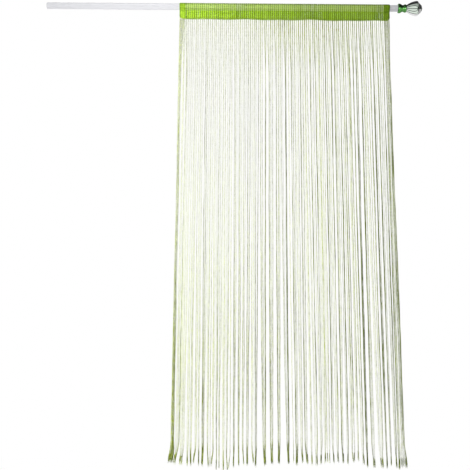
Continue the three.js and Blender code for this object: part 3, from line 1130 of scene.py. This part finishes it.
fringe = {
    "stripHeight": 5,
    "tuck": 3,  # of the strings between the band's two layers
    "hemStrands": 22,
    "hemRows": (0.75, 1.2),  # how far front and back strings are from the middle, at the band and lower
    "rowGap": 1.7,
    "opened": 0.3,  # how far down the rows are that far apart
    "clumps": 99,  # groups in which the strings leave the band, one for each rib
    "clumpPitch": (2.4, 1.1),
    "hemClumps": 6,
    "hemClumpPitch": 1.05,
    "rootScatter": 0.7,
    "gather": (2.4, 1.1),  # how late the strings draw into locks
    "hemGather": 0.8,
    "tipLength": 38,
    "turnLength": 1.6,  # of the tips' length
    "turnEnd": 10,
    "raggedness": 5,
    "tuft": 28,  # length of a lock's thick end
    "drawnIn": 0.42,  # of its strands towards its middle
    "wideLock": 12,  # locks of more strands open at their tips instead
    "hemOpened": (0.6, 0.8),
    "steps": 108,
    "tipSteps": 20,
    "tipZone": 90,
    "lockWidths": (1.0, 1.15, 1.2, 1.1, 1.05),  # against those charted, at five places from the left
}

bundle = {  # strands of a lock that cling together from near the band on
    "share": (0.05, 0.2, 0.35, 0.65, 0.4),
    "byTone": 0.35,  # and more of them in the deeper locks
    "most": 0.75,
    "pitch": 0.85,
    "joined": 0.14,  # how far down they have come together
    "tone": 0.3,
    "hem": {0: (16, -4.5, 0.7), 1: (4, 5, 0.5), 51: (7, -4, 0.6)},  # strands, how far aside, pitch
}

# slow waves from end to end, sideways and in depth, with phases in radians
hang = {"bow": 2.5, "bowWidth": 377, "bowPhase": 2.4, "swing": 3, "swingWidth": 597, "swingPhase": 1.7}

# Locks of strings from left to right, charted from their tips.
# strands, pitch at the tips, drop below the mean tip, lean, turn of the last stretch, tone
lockColumns = ("strands", "pitch", "longer", "lean", "turn", "tone")
lockRows = [
    (16, 1.2, -6, 3, -7, 1.0), (9, 1.8, -2, 6, -11, -0.3), (8, 2.5, 1, 0, -5, -1.0), (4, 2.4, 5, 0, 0, -0.3),
    (4, 2.0, 5, -1, 1, 0.4), (4, 2.2, -4, 4, -8, 0.5), (3, 2.4, 5, 4, 0, 0.5), (7, 1.1, 5, 3, -2, 1.0),
    (4, 1.8, 8, 3, 3, 0.2), (2, 1.8, 8, 2, 1, 0.2), (4, 2.0, 2, 4, -6, -0.2), (4, 1.3, 20, 4, 0, 0.6),
    (4, 1.1, 14, 1, 1, 0.8), (5, 2.0, 24, 3, 1, -0.4), (4, 2.0, 24, 2, 3, 0.4), (3, 2.2, 16, 4, -5, -0.6),
    (6, 1.2, 7, 4, -1, 0.6), (6, 1.1, 3, 3, 1, 0.5), (5, 1.3, -1, 1, 4, 0.0), (6, 1.4, 3, 1, 0, 0.5),
    (4, 1.9, -6, 3, 5, -0.3), (6, 1.1, 6, 0, -1, 0.8), (10, 1.1, 2, 6, 2, 0.6), (9, 1.1, -6, 2, 1, 0.5),
    (8, 1.1, -7, 1, -1, 0.6), (9, 1.1, -7, 6, 1, 0.9), (2, 2.0, -11, 8, 0, -0.8), (7, 1.3, -3, 7, -2, 0.5),
    (5, 1.8, -8, 4, 3, 0.1), (6, 2.0, -8, 4, 4, 0.3), (4, 2.6, 0, 8, 1, -0.4), (6, 2.2, 0, 10, 0, 0.3),
    (6, 1.7, -5, 10, -3, 0.0), (4, 2.4, -9, 8, 0, -0.3), (3, 2.6, -9, 5, 1, -0.5), (3, 2.6, -9, 5, 0, -0.2),
    (5, 2.2, -9, 6, 3, 0.3), (6, 2.0, -13, 5, 1, 0.2), (6, 2.0, -10, 6, 2, 0.2), (5, 2.0, -6, 7, -1, 0.5),
    (4, 2.6, -10, 8, 3, 0.0), (3, 2.6, -14, 8, -2, 0.1), (4, 2.4, -18, 8, 0, 0.1), (6, 2.1, -6, 9, 2, 0.2),
    (6, 1.5, 6, 6, 0, 0.9), (7, 2.0, 5, 7, 3, 0.3), (9, 2.2, 5, 9, 2, -0.3), (6, 1.1, 9, 4, 1, 0.7),
    (5, 1.3, -3, 1, 1, 0.6), (6, 1.6, 4, 1, 2, 0.6), (9, 1.2, 12, -1, 0, 0.3), (13, 1.1, 5, 2, 2, 0.9),
]
locks = [dict(zip(lockColumns, row)) for row in lockRows]
strandCount = 0
for number, lock in enumerate(locks):
    lock.update(number=number, first=strandCount)
    strandCount += lock["strands"]


def underHem(n):
    return n < fringe["hemStrands"] or n >= strandCount - fringe["hemStrands"]


def rootX(n):
    hemStrands = fringe["hemStrands"]
    hemPitch = band["hemWidth"] / hemStrands
    pitch = (curtain["width"] - 2 * band["hemWidth"]) / (strandCount - 2 * hemStrands)
    if n < hemStrands:
        return curtain["left"] + (n + 0.5) * hemPitch
    if n >= strandCount - hemStrands:
        return curtain["right"] - (strandCount - n - 0.5) * hemPitch
    return innerLeft + (n - hemStrands + 0.5) * pitch


def clumpedX(n):  # the strings leave the band in the groups of its laid-in yarns
    hemStrands = fringe["hemStrands"]
    if underHem(n):
        first, start = (0, curtain["left"]) if n < hemStrands else (strandCount - hemStrands, innerRight)
        count, groups, width = hemStrands, fringe["hemClumps"], band["hemWidth"]
        pitch = fringe["hemClumpPitch"]
        loose = 0
    else:
        first, start = hemStrands, innerLeft + knit["ribStart"] - quarterRib
        count, groups, width = strandCount - 2 * hemStrands, fringe["clumps"], fringe["clumps"] * ribWidth
        pitch = mix(*fringe["clumpPitch"], acrossAt(rootX(n)))
        loose = fringe["rootScatter"] * scatter(n, "rootPlace")
    group = (n - first) * groups // count
    members = [i for i in range(count) if i * groups // count == group]
    centre = start + (group + 0.5) * width / groups
    return centre + (members.index(n - first) - (len(members) - 1) / 2) * pitch + loose


def bow(x, down):
    return hang["bow"] * down * math.sin(2 * math.pi * x / hang["bowWidth"] + hang["bowPhase"] * down)


def swing(x, down):
    return hang["swing"] * down * math.sin(2 * math.pi * x / hang["swingWidth"] + hang["swingPhase"])


def bundleOf(lock, across):  # how many strands cling together, whether the last ones, how far aside, pitch
    if lock["number"] in bundle["hem"]:
        count, aside, pitch = bundle["hem"][lock["number"]]
        return count, True, aside, pitch
    share = between(gradePlaces, bundle["share"], across) + bundle["byTone"] * lock["tone"]
    count = round(lock["strands"] * held(share, 0, bundle["most"]))
    return count if count > 1 else 0, scatter(lock["number"], "bundleSide") > 0, 0, bundle["pitch"]


def inLock(lock, i, across):  # where a strand is from the lock's middle, at the tips
    count, atEnd, _, pitch = bundleOf(lock, across)
    strands = lock["strands"]
    bundleWidth = count * pitch
    width = (strands - 1) * lock["pitch"] * between(gradePlaces, fringe["lockWidths"], across)
    if count == strands:
        width = bundleWidth
    member = strands - 1 - i if atEnd else i
    if member < count:
        offset = member * pitch
    else:
        rest = max(width, bundleWidth + strands - count) - bundleWidth
        offset = bundleWidth + (member - count + 0.5) * rest / (strands - count)
    offset -= width / 2
    return -offset if atEnd else offset


def bundledRoot(lock, i, across):  # where a clinging strand hangs, or None
    count, atEnd, aside, pitch = bundleOf(lock, across)
    first = lock["strands"] - count if atEnd else 0
    members = range(first, first + count)
    if i not in members:
        return None
    middle = sum(rootX(lock["first"] + member) for member in members) / count
    return middle + aside + (i - (members[0] + members[-1]) / 2) * pitch


def stringLine(n, lock, centre):  # points from root to tip, how far down they are, and how near the tip
    x = rootX(n)
    i = n - lock["first"]
    start = clumpedX(n)
    rootZ = lowerEdge(x) - curtain["seatGap"] - fringe["stripHeight"]
    topZ = rootZ + fringe["stripHeight"] + fringe["tuck"]
    lockTip = meanTip - lock["longer"]
    bendZ = lockTip + fringe["tipZone"]
    tipZ = lockTip + fringe["raggedness"] * scatter(n, "stringLength") + ends["short"]
    turnZ = lockTip + fringe["turnLength"] * fringe["tipLength"]
    across = acrossAt(x)
    offset = inLock(lock, i, across)
    clinging = bundledRoot(lock, i, across)
    gather = fringe["hemGather"] if lock["number"] in bundle["hem"] else mix(*fringe["gather"], across)
    wide = lock["strands"] > fringe["wideLock"]
    drawnIn = -mix(*fringe["hemOpened"], across) if wide else fringe["drawnIn"]
    rows = (0, fringe["rowGap"] * (i % 3 - 1))
    if underHem(n):
        rows = [row if n % 2 else -row for row in fringe["hemRows"]]
    heights = spread(topZ, bendZ, fringe["steps"])[:-1] + spread(bendZ, tipZ, fringe["tipSteps"])
    line = []
    for z in heights:
        down = held((rootZ - z) / (rootZ - meanTip))
        depth = mix(*rows, min(1, down / fringe["opened"]))
        turned = smooth(turnZ, tipZ - fringe["turnEnd"], z)
        atTip = smooth(bendZ, tipZ + fringe["tuft"], z)
        tipX = centre + lock["lean"] + offset * (1 - drawnIn * atTip)
        above = start if clinging is None else mix(start, clinging, smooth(0, bundle["joined"], down))
        line.append((
            mix(above, tipX, down ** gather) + bow(x, down) + lock["turn"] * turned,
            depth + edgeSwing(x) + swing(x, down),
            z,
            down,
            atTip,
        ))
    return line


def allStrings():
    for lock in locks:
        numbers = range(lock["first"], lock["first"] + lock["strands"])
        centre = sum(rootX(n) for n in numbers) / len(numbers)
        for n in numbers:
            yield n, lock, stringLine(n, lock, centre)


# Strings: their yarn

# A pair of values is again for the left and the right, and says from where to where if named Down or Across
strand = {
    "yarn": {
        "Thickness": 1.42, "Flatness": 0.8, "Sides": 5, "Waver": 6, "Waver Length": 260,
        "Twist": 9.0, "Seed": 5,  # turns to the metre
    },
    "lotStep": 0.04,  # strings of one lock waver nearly alike
    "looseFrom": 0.15,
    "tipTone": 0.5,
    "toneScatter": 0.5,
    "lockTone": 0.9,  # share of the lock's charted tone
    "contrast": (0.6, 1.6),  # of the locks' tones
    "contrastDown": (0, 0.3),
    "contrastFades": (0.5, 0.84, 0.93),  # by how much, from where to where
    "hemTone": 0.3,
    "hemToneUntil": 0.2,
    "girthScatter": 0.12,
    "slub": 0.22,  # short thick and thin places
    "lockGirth": 0.2,
    "lockGirthDown": (0.05, 0.4),
    "tipGirth": (1.06, 0.6),
    "tipGirthAcross": (0.5, 0.65),
    "tuftByTone": 0.4,
    "hemGirth": (0.5, 0.62),  # under the side hems, near the band
    "hemGirthBelow": (0.85, 0.82),
    "hemGirthDown": (0.05, 0.9),
    "rootPaintedLight": (1.0, 0.25),  # share of washed-out colour near the band: painted light, most at the left where the lamp falls brightest
    "hemPale": (0.15, 0.25),
    "lowPale": 0.1,
    "paleDown": (0.1, 0.6),
    "tipPale": 0.2,
    "look": {
        "pale": srgb(193, 208, 66), "deep": srgb(105, 120, 4), "shadow": srgb(66, 76, 1),
        "washed": srgb(152, 155, 134), "gloss": 0.05, "sheen": 0.02,
        "plied": {"Plies": 2.0, "Turns": 140.0, "Fuzz": 0.6}, "patches": (60, 60, 34),
        "uneven": 2.0, "groove": 0.5, "bump": 0.8, "depth": 0.3,
    },
}
stringYarn = yarnMaterial("stringYarn", strand["look"])

# The yarn from the band down, at five places from left to right: share of the way, girths, tones. The tones
# are painted light and shade: paler at the left, where the lamp is strong, and deeper at the right and near
# the band there, where less light falls
gradePlaces = (0, 0.3, 0.5, 0.75, 1)
gradeRows = [
    (0.00, (1.25, 1.15, 1.85, 1.60, 1.15), (0.1, 0.1, 0.5, 0.6, 0.5)),
    (0.05, (1.00, 1.00, 1.35, 1.45, 1.05), (0.1, 0.1, 0.3, 0.5, 0.4)),
    (0.13, (0.85, 0.86, 0.86, 1.20, 1.02), (-0.2, -0.1, 0.0, 0.2, 0.2)),
    (0.22, (0.72, 0.66, 0.77, 1.18, 1.04), (-0.4, -0.3, -0.1, 0.1, 0.1)),
    (0.50, (0.58, 0.60, 0.68, 1.16, 0.86), (-0.4, -0.3, -0.1, 0.1, 0.0)),
    (0.76, (0.86, 0.88, 0.78, 1.07, 0.92), (-0.3, -0.2, 0.0, 0.1, 0.0)),
    (0.86, (0.90, 0.80, 0.72, 1.06, 0.86), (-0.2, -0.1, 0.0, 0.1, 0.0)),
    (0.93, (0.76, 0.56, 0.58, 0.86, 0.74), (-0.2, -0.1, 0.0, 0.1, 0.0)),
    (1.00, (0.60, 0.50, 0.48, 0.38, 0.46), (-0.1, 0.0, 0.0, 0.1, 0.1)),
]
gradeStops, girthRows, toneRows = zip(*gradeRows)


def strandTones(n, lock, across):  # returns the tone at a place on that string
    tones = [between(gradePlaces, row, across) for row in toneRows]
    alone = bundledRoot(lock, n - lock["first"], across) is None
    ownTone = strand["lockTone"] * lock["tone"] * mix(*strand["contrast"], across)
    ownTone += 0 if alone else bundle["tone"]
    fade, fadeStart, fadeEnd = strand["contrastFades"]

    def toneAt(down, atTip):
        tone = between(gradeStops, tones, down) + strand["tipTone"] * atTip
        tone += strand["toneScatter"] * scatter(n, "stringTone")
        if underHem(n):
            tone += strand["hemTone"] * (1 - smooth(0, strand["hemToneUntil"], down))
        shown = smooth(*strand["contrastDown"], down) * (1 - fade * smooth(fadeStart, fadeEnd, down))
        return tone + ownTone * shown
    return toneAt


def strandGirths(n, lock, across):  # returns the girth at a place on that string
    girths = [between(gradePlaces, row, across) for row in girthRows]
    byTone = strand["lockGirth"] * lock["tone"] * mix(*strand["contrast"], across)
    atEnd = mix(*strand["tipGirth"], smooth(*strand["tipGirthAcross"], across))
    atEnd += strand["tuftByTone"] * lock["tone"]
    hemGirths = [mix(*strand[label], across) for label in ("hemGirth", "hemGirthBelow")]
    uneven = strand["girthScatter"] * scatter(n, "stringGirth")

    def girthAt(down, atTip, count):
        girth = mix(between(gradeStops, girths, down), atEnd, atTip)
        girth *= 1 + uneven + strand["slub"] * scatter(count, "slub")
        girth *= 1 + byTone * smooth(*strand["lockGirthDown"], down) * (1 - atTip)
        if underHem(n):
            girth *= mix(*hemGirths, smooth(*strand["hemGirthDown"], down))
        return girth
    return girthAt


def makeStrings(name, chosen):
    lines = []
    count = 0
    for n, lock, path in chosen:
        across = acrossAt(rootX(n))
        pale = mix(*strand["hemPale" if underHem(n) else "rootPaintedLight"], across)
        toneAt = strandTones(n, lock, across)
        girthAt = strandGirths(n, lock, across)
        line = []
        for *point, down, atTip in path:
            count += 1
            lot = lock["number"] + strand["lotStep"] * n
            loose = smooth(0, strand["looseFrom"], down)
            # washed-out colour: near the band painted light, most at the left; fading downwards
            washed = mix(pale, strand["lowPale"], smooth(*strand["paleDown"], down))
            washed += strand["tipPale"] * atTip
            line.append((point, toneAt(down, atTip), lot, loose, girthAt(down, atTip, count), washed))
        lines.append(line)
    return grow(wiredPiece(name, yarnLabels, lines), hangingYarn, stringYarn, strand["yarn"])


ends = {  # the frayed fibres at the end of each string
    "short": 6,  # by which the strings end above their charted tips
    "fibres": 5,
    "above": 26,  # where the fibres start, from the string's end
    "length": 34,
    "lengthScatter": 4,
    "spread": 1.3,
    "spreadStart": 0.3,
    "thinned": 0.5,  # share of their girth that is gone at the end
    "tone": 0.5,
    "lockTone": 0.9,
    "toneScatter": 0.3,
    "steps": 3,
    "yarn": {
        "Thickness": 0.55, "Flatness": 1.0, "Sides": 3, "Waver": 2.0, "Waver Length": 6,
        "Twist": 0.0, "Seed": 8,
    },
}


def makeEnds():
    lines = []
    for n, lock, path in strings:
        above, tip = Vector(path[-2][:3]), Vector(path[-1][:3])
        ahead = (tip - above).normalized()
        for fibre in range(n * ends["fibres"], (n + 1) * ends["fibres"]):
            out = Vector((scatter(fibre, "fibreX"), scatter(fibre, "fibreY"), 0))
            length = ends["length"] + ends["lengthScatter"] * scatter(fibre, "fibreLength")
            tone = ends["lockTone"] * lock["tone"] + ends["tone"]
            tone += ends["toneScatter"] * scatter(fibre, "fibreTone")
            line = []
            for share in spread(0, 1, ends["steps"]):
                spot = tip + ahead * (length * share - ends["above"])
                point = spot + out * ends["spread"] * (ends["spreadStart"] + share)
                line.append((point, tone, float(fibre), share, 1 - ends["thinned"] * share))
            lines.append(line)
    return grow(wiredPiece("string_ends", yarnLabels[:-1], lines), hangingYarn, stringYarn, ends["yarn"])


strings = list(allStrings())
third = strandCount // 3
stringPieces = [
    makeStrings("strings_left", strings[:third]),
    makeStrings("strings_middle", strings[third:2 * third]),
    makeStrings("strings_right", strings[2 * third:]),
    makeEnds(),
]
for piece in stringPieces:
    dress(piece, "string_yarn", "string_fringe")
print("stage: strings hung", [len(piece.data.polygons) for piece in stringPieces])
